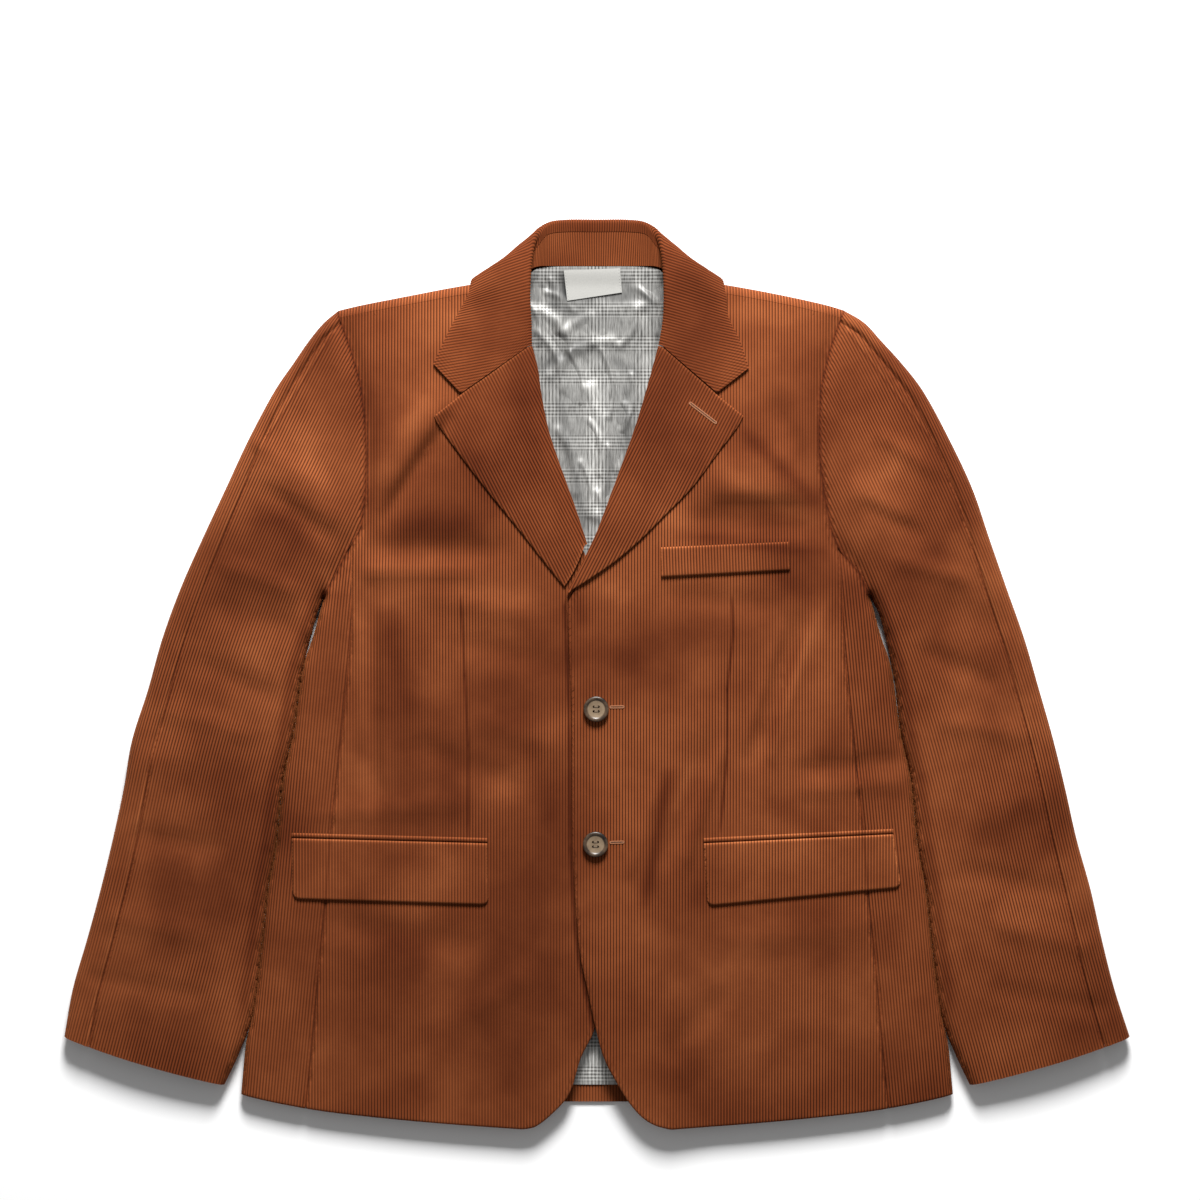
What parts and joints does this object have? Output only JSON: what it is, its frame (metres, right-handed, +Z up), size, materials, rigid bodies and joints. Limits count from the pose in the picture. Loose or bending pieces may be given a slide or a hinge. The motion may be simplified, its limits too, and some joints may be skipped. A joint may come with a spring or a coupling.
{
  "type": "corduroy jacket",
  "caption": "Single-breasted corduroy jacket laid flat and buttoned, with notch lapels, flap pockets, a chest welt and open neck, hem and cuffs.",
  "frame": {"origin": "on the surface the jacket lies on, under the middle of its outline", "axes": "+X to the wearer's left, +Y towards the collar, +Z up from the surface"},
  "size_m": [0.9282, 0.7932, 0.0368],
  "materials": {
    "corduroy": "ribbed cotton pile with a soft sheen",
    "satin": "shiny woven satin",
    "label": "matt woven",
    "horn": "mottled dark horn with a pale middle"
  },
  "bodies": {
    "root": {"back": "corduroy", "lining_back": "satin", "label": "label", "front_left": "corduroy", "front_right": "corduroy", "side_left": "corduroy", "side_right": "corduroy", "top_sleeve_left": "corduroy", "top_sleeve_right": "corduroy", "under_sleeve_left": "corduroy", "under_sleeve_right": "corduroy", "lapel_left": "corduroy", "lapel_right": "corduroy", "collar_fall": "corduroy", "collar_stand": "corduroy", "flap_left": "corduroy", "flap_right": "corduroy", "jet_left": "corduroy", "jet_right": "corduroy", "chest_welt": "corduroy", "button_upper": "horn", "button_lower": "horn"}
  },
  "joints": []
}
